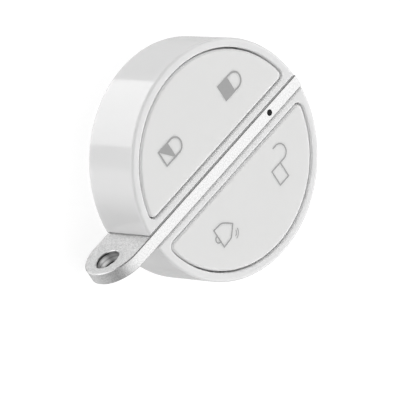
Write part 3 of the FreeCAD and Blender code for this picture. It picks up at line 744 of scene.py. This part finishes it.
class FOB_OT_board(bpy.types.Operator):
    """Finishes the circuit board and what is soldered to it"""
    bl_idname = "fob.board"
    bl_label = "Circuit board"

    def execute(self, context):
        settings = context.scene.fob_inside
        dress(printed_board(settings), "circuit_board")
        dress(moulded_chip(settings), "microcontroller", "radio_chip", "tag_chip")
        dress(fired_ceramic(settings), "chip_antenna", "capacitors")
        steel = context.scene.fob_metal.steel_colour
        dress(turned_steel("crystal_can", steel, roughness=0.28, squeeze=(1.0, 5.0, 1.0)), "crystal")
        return {"FINISHED"}


class FOB_OT_battery(bpy.types.Operator):
    """Finishes the cell, its tray and the coil that lies on the tray"""
    bl_idname = "fob.battery"
    bl_label = "Battery and coil"

    def execute(self, context):
        settings = context.scene.fob_inside
        dress(plated_cell(settings), "coin_cell")
        dress(moulded("tray_moulding", settings.tray_colour, settings.tray_colour, roughness=0.5,
                      peel=0.6 * MM, peel_depth=0.004 * MM, texture=0.15 * MM, texture_depth=0.002 * MM),
              "battery_tray")
        dress(wound_copper(settings), "antenna_coil")
        return {"FINISHED"}


class FOB_OT_closed_padlocks(bpy.types.Operator):
    """Prints the filled and the half-filled padlock on the left key"""
    bl_idname = "fob.closed_padlocks"
    bl_label = "Closed padlocks"

    def execute(self, context):
        sign = context.scene.fob_sign
        low, high = FACE - sign.ink, FACE + sign.ink
        left, right = -sign.lock_x - sign.lock_width / 2, -sign.lock_x + sign.lock_width / 2
        half = (sign.lock_width - sign.line) / 2
        inset = sign.line / 2
        for name, foot in (("closed_padlock_sign", sign.upper_foot), ("half_padlock_sign", -sign.lower_foot)):
            top = foot + sign.lock_height
            shapes = [ribbon(shackle(-sign.lock_x, half, top, sign.shackle_leg), sign.line, low, high)]
            if name == "closed_padlock_sign":
                shapes.append(plate(rectangle(left, right, foot, top), low, high))
            else:
                body = rectangle(left + inset, right - inset, foot + inset, top - inset)
                shapes.append(ribbon(body, sign.line, low, high, closed=True))
                inner = rectangle(left + sign.line, right - sign.line, foot + sign.line, top - sign.line)
                shapes.append(plate([inner[0], inner[2], inner[3]], low, high))
            printed_sign(name, shapes, "left_key", sign)
        return {"FINISHED"}


class FOB_OT_open_padlock(bpy.types.Operator):
    """Prints the open padlock on the right key"""
    bl_idname = "fob.open_padlock"
    bl_label = "Open padlock"

    def execute(self, context):
        sign = context.scene.fob_sign
        low, high = FACE - sign.ink, FACE + sign.ink
        line, inset = sign.thin_line, sign.thin_line / 2
        left, right = sign.open_x - sign.lock_width / 2, sign.open_x + sign.lock_width / 2
        top = sign.upper_foot + sign.lock_height
        body = rectangle(left + inset, right - inset, sign.upper_foot + inset, top - inset)
        half = (sign.lock_width - line) / 2 - sign.open_inset
        swung = shackle(left + inset - half, half, top, sign.shackle_leg, top + sign.open_gap)
        shapes = [ribbon(body, line, low, high, closed=True), ribbon(swung, line, low, high)]
        printed_sign("open_padlock_sign", shapes, "right_key", sign)
        return {"FINISHED"}


class FOB_OT_bell(bpy.types.Operator):
    """Prints the ringing bell on the right key"""
    bl_idname = "fob.bell"
    bl_label = "Bell"

    def execute(self, context):
        sign = context.scene.fob_sign
        low, high = FACE - sign.ink, FACE + sign.ink
        line = sign.thin_line
        foot, centre = -sign.bell_foot, sign.bell_x
        outline = bell_outline(centre, foot, sign.bell_height, sign.bell_waist, sign.bell_width)
        clapper = arc((centre, foot - line / 2), sign.clapper, 180, 360)
        ring_centre = (centre + sign.ring_x, foot + sign.ring_y)
        fine = line * 0.6
        shapes = [
            ribbon(outline, line, low, high, closed=True),
            ribbon(clapper, line, low, high),
            ribbon(arc(ring_centre, sign.near_ring, 10, 85), fine, low, high),
            ribbon(arc(ring_centre, sign.far_ring, 4, 90), fine, low, high),
        ]
        printed_sign("bell_sign", shapes, "right_key", sign)
        return {"FINISHED"}


def studio_floor(settings):
    """A pale floor that shows a plain white, dimmed only where the fob's shadow falls, and is clear from below.

    The stage hides it from glossy, diffuse and shadow rays, so it neither lights nor is mirrored by the fob.
    """
    material = bpy.data.materials.new("studio_floor")
    graph = Graph(material)
    camera, glossy, transmission = (graph.add("ShaderNodeLightPath", None, None, "Is " + kind + " Ray")
                                    for kind in ("Camera", "Glossy", "Transmission"))
    seen = camera.math("MAXIMUM", glossy).math("MAXIMUM", transmission)
    lift = graph.add("ShaderNodeEmission", None, {"Color": WHITE, "Strength": seen * settings.floor_lift})
    paint = graph.add("ShaderNodeBsdfDiffuse", None, {"Color": rgba(settings.floor_colour)})
    both = graph.add("ShaderNodeAddShader", None, {0: lift, 1: paint})
    below = graph.add("ShaderNodeNewGeometry", None, None, "Backfacing")
    clear = graph.add("ShaderNodeBsdfTransparent")
    sided = graph.add("ShaderNodeMixShader", None, {0: below, 1: both, 2: clear})
    graph.add("ShaderNodeOutputMaterial", None, {"Surface": sided})
    return material


# The studio's light in belts, from the lowest up: the height over the horizon in degrees where a belt begins,
# and stops round the fob, each the direction in degrees from +X towards +Y and how bright the studio is there.
# The second belt is what the wall mirrors: a tall soft box with sharp ends, and dimmer cards beside it.
# The brightest part of the belts over the horizon is behind the fob, opposite the camera. The belt at 38 degrees
# has a faint seam at +X, where its end is a little brighter than its beginning.
BELTS = [
    (-90, [(0, 0.6), (120, 0.7), (180, 1.1), (240, 1.4), (300, 0.9), (360, 0.6)]),
    (-56, [(0, 0.5), (45, 0.6), (80, 0.7), (105, 0.8), (151, 0.65), (152, 3.0), (190, 3.0), (219, 2.6), (220, 0.5),
           (236, 0.6), (246, 1.8), (262, 1.7), (275, 1.0), (286, 0.3), (304, 0.3), (310, 1.7), (318, 1.7), (332, 1.0),
           (360, 0.5)]),
    (-44, [(0, 0.3), (60, 0.4), (130, 0.6), (165, 1.3), (200, 1.6), (225, 1.6), (250, 1.6), (285, 0.8), (310, 0.6),
           (340, 0.5), (360, 0.3)]),
    (-15, [(0, 0.4), (90, 0.6), (150, 0.8), (200, 1.2), (225, 1.2), (260, 1.1), (280, 0.8), (300, 0.6), (360, 0.4)]),
    (10, [(0, 1.9), (45, 2.0), (75, 1.9), (110, 0.5), (150, 0.2), (240, 0.2), (315, 0.3), (345, 1.6), (360, 1.9)]),
    (38, [(0, 1.4), (25, 1.5), (65, 1.5), (90, 1.5), (130, 0.7), (160, 0.4), (240, 0.4), (300, 0.4), (330, 1.1),
          (360, 1.5)]),
    (62, [(0, 1.3), (90, 1.3), (225, 1.1), (360, 1.3)]),
]
BRIGHTEST = 4.0  # what a ramp's white stands for, because its greys end at one
BELT_BLUR = 0.04  # how far one belt runs into the next, as a sine of the height
FLOOR = -0.02 * MM  # the floor's height, a little under the flat back so that the two never coincide
CLIP_START = 0.05


def studio_sky(settings):
    """The world: the studio's light in belts round the fob."""
    world = bpy.data.worlds.new("studio_sky")
    graph = Graph(world)
    direction = graph.add("ShaderNodeTexCoord", None, None, "Generated")
    x, y, z = (graph.part_of(direction, axis) for axis in "XYZ")
    round_fob = (y.math("ARCTAN2", x) * (0.5 / math.pi) + 1.0).math("FRACT")
    light = 0.0
    for begins, stops in BELTS:
        scaled = [(degrees / 360, strength / BRIGHTEST) for degrees, strength in stops]
        belt = graph.add("ShaderNodeValToRGB", {"stops": scaled}, {"Fac": round_fob}) * BRIGHTEST
        edge = math.sin(math.radians(begins))
        light = light + (belt - light) * graph.step(z, edge - BELT_BLUR, edge + BELT_BLUR)
    background = graph.add("ShaderNodeBackground", None, {"Color": WHITE, "Strength": light * settings.sky})
    graph.add("ShaderNodeOutputWorld", None, {"Surface": background})
    return world


def direction_to(azimuth, elevation):
    """The unit vector towards a viewer who looks along +Y at azimuth nought."""
    return Vector((math.sin(azimuth) * math.cos(elevation), -math.cos(azimuth) * math.cos(elevation),
                   math.sin(elevation)))


def facing(back, roll):
    """The turn of a camera whose back points along a direction, rolled about it."""
    level = Vector((0, 0, 1)).cross(back).normalized()
    upright = back.cross(level)
    across = level * math.cos(roll) + upright * math.sin(roll)
    return Matrix((across, back.cross(across), back)).transposed().to_4x4()


class FOB_OT_stage(bpy.types.Operator):
    """Sets up the floor, the light and the camera"""
    bl_idname = "fob.stage"
    bl_label = "Stage"

    def execute(self, context):
        settings = context.scene.fob_stage
        scene = context.scene
        half = settings.floor_side / 2
        mesh = bpy.data.meshes.new("floor")
        corners = [(-half, -half), (half, -half), (half, half), (-half, half)]
        mesh.from_pydata([(x, y, FLOOR) for x, y in corners], [], [(0, 1, 2, 3)])
        mesh.materials.append(studio_floor(settings))
        floor = bpy.data.objects.new("floor", mesh)
        floor.visible_glossy = floor.visible_diffuse = floor.visible_shadow = False
        scene.collection.objects.link(floor)
        scene.world = studio_sky(settings)

        camera = bpy.data.cameras.new("camera")
        camera.lens = settings.lens
        camera.clip_start = CLIP_START
        back = direction_to(settings.azimuth, settings.elevation)
        aim = Vector((settings.aim_x, -settings.aim_y, FACE))
        camera_object = bpy.data.objects.new("camera", camera)
        camera_object.matrix_world = Matrix.Translation(aim + back * settings.distance) @ facing(back, settings.roll)
        scene.collection.objects.link(camera_object)
        scene.camera = camera_object
        scene.view_settings.view_transform = "Standard"
        return {"FINISHED"}


GROUPS = {
    "fob_shell": FobShellSettings,
    "fob_metal": FobMetalSettings,
    "fob_sign": FobSignSettings,
    "fob_inside": FobInsideSettings,
    "fob_stage": FobStageSettings,
}
OPERATORS = (FOB_OT_housing, FOB_OT_keys, FOB_OT_bar, FOB_OT_springs, FOB_OT_indicator, FOB_OT_board,
             FOB_OT_battery, FOB_OT_closed_padlocks, FOB_OT_open_padlock, FOB_OT_bell, FOB_OT_stage)


class FOB_PT_sidebar(bpy.types.Panel):
    """The fob's settings and the operators that build its looks"""
    bl_idname = "FOB_PT_sidebar"
    bl_label = "Key Fob"
    bl_space_type = "VIEW_3D"
    bl_region_type = "UI"
    bl_category = "Key Fob"

    def draw(self, context):
        for operator in OPERATORS:
            self.layout.operator(operator.bl_idname)
        for group_name, group in GROUPS.items():
            box = self.layout.box()
            settings = getattr(context.scene, group_name)
            for setting in group.__annotations__:
                box.prop(settings, setting)


def register():
    for group_name, group in GROUPS.items():
        bpy.utils.register_class(group)
        setattr(bpy.types.Scene, group_name, PointerProperty(type=group))
    for operator in OPERATORS:
        bpy.utils.register_class(operator)
    bpy.utils.register_class(FOB_PT_sidebar)


def unregister():
    bpy.utils.unregister_class(FOB_PT_sidebar)
    for operator in reversed(OPERATORS):
        bpy.utils.unregister_class(operator)
    for group_name, group in reversed(GROUPS.items()):
        delattr(bpy.types.Scene, group_name)
        bpy.utils.unregister_class(group)


def main():
    """Builds the whole scene."""
    register()
    for operator in OPERATORS:
        group, name = operator.bl_idname.split(".")
        getattr(getattr(bpy.ops, group), name)()


if __name__ == "__main__":
    main()
